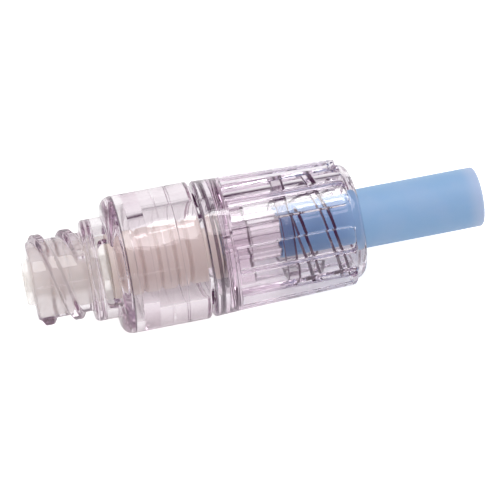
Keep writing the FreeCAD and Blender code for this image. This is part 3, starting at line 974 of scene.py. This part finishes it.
# %% Collar wall and inner thread
collar_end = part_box("locking_collar")[1].x / MM
collar_step = 17.0
skirt_end = 17.1
grip_end = 27.3
collar_front_radius = 5.9
skirt_radius = 5.8
rib_end_radius = 5.48
dome_radius = 5.0
collar_bore = 4.0
hub_bore = hub_radius + hub_play
bead_radius = groove_radius + hub_play
bead_front = 15.43
bead_back = 15.72
web_front = 21.3
web_back = 22.2
web_height = 0.6
web_hole = collar_bore - web_height
mouth_chamfer = 0.1
lock_height = 0.5
lock_setback = 0.15
lock_clock = 85.0
collar_outline = rounded([
    (collar_front, hub_bore, edge_round),
    (collar_front, collar_front_radius, 0.2),
    (skirt_end, skirt_radius),
    (grip_end, rib_end_radius, 0.2),
    (grip_end, dome_radius),
    (collar_end, dome_radius, 0.85),
    (collar_end, collar_bore + mouth_chamfer),
    (collar_end - mouth_chamfer, collar_bore),
    (web_back, collar_bore, 0.1),
    (web_back, web_hole, edge_round),
    (web_front, web_hole, edge_round),
    (web_front, collar_bore, 0.1),
    (collar_step, collar_bore, edge_round),
    (collar_step, hub_bore),
    (bead_back, hub_bore),
    (bead_back, bead_radius, 0.04),
    (bead_front, bead_radius, 0.04),
    (bead_front, hub_bore),
])
collar = turn("collar", split_side(collar_outline, collar_bore, ring_step))
COLLAR_CLOCK = 5.2
run_tree(collar, luer_thread, {
    "Wall": collar_bore * MM,
    "Reach": 0.02 * MM,
    "Height": -lock_height * MM,
    "Lead": THREAD_LEAD * MM,
    "First": (web_back + lock_setback) * MM,
    "Clock": math.radians(COLLAR_CLOCK + lock_clock),
    "Turns": 0.88,
    "Base Width": 0.9 * MM,
    "Crest Width": 0.4 * MM,
    "Run Out": 0.03,
    "Material": collar_plastic,
})
print("collar wall:", len(collar.data.polygons), "faces")

# %% Grip flutes
FLUTES = 8
flute_floor = 4.6
flute_half = 1.08
flute_corner = 0.6
floor_round = 0.15
rib_edge = 0.12
rib_edge_lift = math.radians(12)
edge_run = 0.5
past_dome = 0.01
cutter_top = 7.0
rear_steps = ARC_STEPS + 2
bore_margin = 0.05
lip_margin = 0.3


def flute_section(half, rib_radius):
    """Half a flute's section (across, out): floor, corner, flank and the soft edge onto the rib."""
    half_points = []
    for k in range(ARC_STEPS):
        angle = -math.pi / 2 + math.pi / 2 * k / (ARC_STEPS - 1)
        across = half - floor_round + floor_round * math.cos(angle)
        half_points.append((across, flute_floor + floor_round + floor_round * math.sin(angle)))
    middle = half + rib_edge
    height = math.sqrt((rib_radius - rib_edge) ** 2 - middle ** 2)
    end_angle = math.atan2(height, middle) + rib_edge_lift
    for k in range(ARC_STEPS):
        angle = math.pi + (end_angle - math.pi) * k / (ARC_STEPS - 1)
        half_points.append((middle + rib_edge * math.cos(angle), height + rib_edge * math.sin(angle)))
    across, out = half_points[-1]
    half_points.append((across + edge_run * math.sin(end_angle), out - edge_run * math.cos(end_angle)))
    half_points.append((half_points[-1][0], cutter_top))
    return half_points + [(-a, o) for a, o in reversed(half_points)]


def rib_radius_at(along):
    share = (along - skirt_end) / (grip_end - skirt_end)
    return skirt_radius + (rib_end_radius - skirt_radius) * share


flute_sections = [(skirt_end, flute_section(flute_half, skirt_radius))]
flute_rear = grip_end + past_dome
for k in range(rear_steps + 1):
    angle = math.pi / 2 * k / rear_steps
    along = flute_rear - flute_corner + flute_corner * math.sin(angle)
    half = flute_half - flute_corner + flute_corner * math.cos(angle)
    flute_sections.append((along, flute_section(half, rib_radius_at(along))))
flute_cutter = loft("flute_cutter", flute_sections)
cut_round(collar, flute_cutter, FLUTES, COLLAR_CLOCK, collar_plastic)


def bonded_in_collar(along, out, steep):
    """True on the bore and the bead that run on the hub, however steep the face is."""
    return in_hub_film(along, out)


def painted_lines_in_collar(along, out, steep):
    """How far the bead, the thread's flanks and the web get painted dark lines, in place of reflections."""
    if out > hub_bore - bore_margin:
        return 0.0
    on_step = steep > STEEP and collar_step < along < collar_end - lip_margin
    on_bead = bead_front - NEAR < along < bead_back + NEAR
    on_web = web_front < along < web_back and out < web_hole + NEAR
    if on_step or on_bead:
        return 1.0
    return FAINT if on_web else 0.0


mark_faces(collar, "bond", bonded_in_collar)
mark_faces(collar, "painted_dark_lines", painted_lines_in_collar)
smooth(collar)

# %% [markdown]
# The tip cap
#
# A plain push-on tube with a closed end. Its only features are the soft edges, the tapered bore that grips
# the male luer, and the thick end wall. Its colour is painted paler over that wall, because light gets in
# there, and painted darker along the length inside the collar, where the collar shades it.

# %% Tip cap
cap_low, cap_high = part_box("tip_cap")
cap_mouth = cap_low.x / MM
cap_end = cap_high.x / MM
cap_radius = cap_high.z / MM
cap_play = 0.05
cap_end_wall = 1.1
cap_bore_end = cap_end - cap_end_wall
cap = turn("cap", rounded([
    (cap_mouth, male_luer(cap_mouth) + cap_play, 0.05),
    (cap_mouth, cap_radius, 0.12),
    (cap_end, cap_radius, 0.2),
    (cap_end, 0.0),
    (cap_bore_end, 0.0),
    (cap_bore_end, luer_tip_radius + cap_play, 0.2),
    (luer_tip, luer_tip_radius + cap_play),
]))
cap.data.materials.append(blue_plastic)
smooth(cap)

# %% [markdown]
# Put the pieces on their bodies
#
# Each piece replaces its imported node and rides on that node's body. The boot folds up behind the valve
# head; the script only prints how much of its length is left when the head goes all the way in.

# %% Ride and replace
for piece, node, body, slot in (
    (housing, "front_housing", "connector", "clear_plastic"),
    (base, "outlet_base", "connector", "clear_plastic"),
    (boot, "return_boot", "connector", "beige_silicone"),
    (head, "valve_head", "valve", "frosted_silicone"),
    (collar, "locking_collar", "collar", "lilac_plastic"),
    (cap, "tip_cap", "cap", "blue_plastic"),
):
    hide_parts(node)
    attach(piece, body)
head_travel = next(joint["range_m"][1] for joint in frame["joints"] if joint["name"] == "valve_press") / MM
boot_length = boot_back - boot_front
1 - head_travel / boot_length
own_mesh(boot)
print("boot keeps", round(1 - head_travel / boot_length, 3), "of its length")

# %% [markdown]
# Floor, world and lamp
#
# The photograph shows the connector on pure white. The floor is plain and pale and keeps its shadow, and a
# little light of its own, seen only by the camera and through or in the plastic, lifts it to white. In
# the plastic the world is white below the horizon and dark violet above it, which gives clear plastic its
# dark lines. One softbox overhead lights the object and draws the long highlight along the barrel, and a
# small bright bulb below its far side shows white in the flat floor of the uppermost flute.

# %% Floor
FLOOR_SIZE = 3.0
FLOOR_GLOW = 0.6
FLOOR_GLOW_THROUGH_PLASTIC = 0.08
FLOOR_PALE = (0.9, 0.9, 0.9, 1.0)
FLOOR_PALER = (0.92, 0.92, 0.92, 1.0)
WHITE = (1.0, 1.0, 1.0, 1.0)
floor_height = cad_box[0].z


def seen_in_plastic(tree, path):
    """1 for the rays that a shiny surface has reflected or bent, and 0 for the others."""
    return tree.math("MAXIMUM", path.beside("Is Glossy Ray"), path.beside("Is Transmission Ray"))


def floor_material():
    material, tree = new_material("pale_floor")
    place = tree.node("ShaderNodeTexCoord", output="Object")
    paper = noise(tree, place, scale=900.0, detail=3.0)
    path = tree.node("ShaderNodeLightPath")
    tone = tree.colour(paper, FLOOR_PALE, FLOOR_PALER)
    plain = tree.node("ShaderNodeBsdfDiffuse", {}, {"Color": tone})
    through = FLOOR_GLOW_THROUGH_PLASTIC * seen_in_plastic(tree, path)
    strength = FLOOR_GLOW * path.beside("Is Camera Ray") + through
    glow = tree.node("ShaderNodeEmission", {}, {"Color": WHITE, "Strength": strength})
    both = tree.node("ShaderNodeAddShader", {}, {0: plain, 1: glow})
    tree.node("ShaderNodeOutputMaterial", {}, {"Surface": both})
    return material


side = FLOOR_SIZE / 2
floor_plan = [(-side, -side), (side, -side), (side, side), (-side, side)]
floor = new_piece("floor", [(x, y, floor_height) for x, y in floor_plan], [[0, 1, 2, 3]])
floor.data.materials.append(floor_material())
print("floor at, mm:", round(floor_height / MM, 2))

# %% World
AMBIENT = 0.75
OVERHEAD = (0.075, 0.03, 0.068, 1.0)
WHITE_BELOW = math.sin(math.radians(0))
DARK_ABOVE = math.sin(math.radians(14))


def sky():
    world = bpy.data.worlds.new("studio")
    world.use_nodes = True
    world.node_tree.nodes.clear()
    tree = Tree(world.node_tree)
    direction = tree.node("ShaderNodeTexCoord", output="Generated")
    up = tree.node("ShaderNodeSeparateXYZ", {}, {"Vector": direction}).beside("Z")
    path = tree.node("ShaderNodeLightPath")
    studio = tree.colour(up.smooth(WHITE_BELOW, DARK_ABOVE), WHITE, OVERHEAD)
    plain = (AMBIENT, AMBIENT, AMBIENT, 1.0)
    lit = tree.colour(seen_in_plastic(tree, path), plain, studio)
    colour = tree.colour(path.beside("Is Camera Ray"), lit, WHITE)
    background = tree.node("ShaderNodeBackground", {}, {"Color": colour, "Strength": 1.0})
    tree.node("ShaderNodeOutputWorld", {}, {"Surface": background})
    bpy.context.scene.world = world


sky()
print("world ready")

# %% Softbox and its bulb
LIT_MIDDLE = Vector((18.0, 0.0, 0.0))


def lamp(name, place, along, depth, radiance):
    """A rectangular lamp of even radiance that faces the middle of the connector."""
    data = bpy.data.lights.new(name, "AREA")
    data.shape = "RECTANGLE"
    data.size = along * MM
    data.size_y = depth * MM
    data.energy = radiance * math.pi * data.size * data.size_y
    made = bpy.data.objects.new(name, data)
    made.location = Vector(place) * MM
    made.rotation_mode = "QUATERNION"
    made.rotation_quaternion = (LIT_MIDDLE - Vector(place)).to_track_quat("-Z", "Y")
    bpy.context.scene.collection.objects.link(made)
    print(name, "power, W:", round(data.energy, 3))


lamp("softbox", (55.0, 45.0, 300.0), along=160.0, depth=210.0, radiance=2.8)
lamp("bulb", (61.0, 109.0, 271.0), along=46.0, depth=44.0, radiance=7.5)

# %% Light bounces and view
scene = bpy.context.scene
scene.view_settings.view_transform = "Standard"
scene.cycles.max_bounces = 32
scene.cycles.transmission_bounces = 32
scene.cycles.glossy_bounces = 24
scene.cycles.transparent_max_bounces = 48
scene.cycles.caustics_refractive = False
scene.cycles.caustics_reflective = False
print("view transform:", scene.view_settings.view_transform)
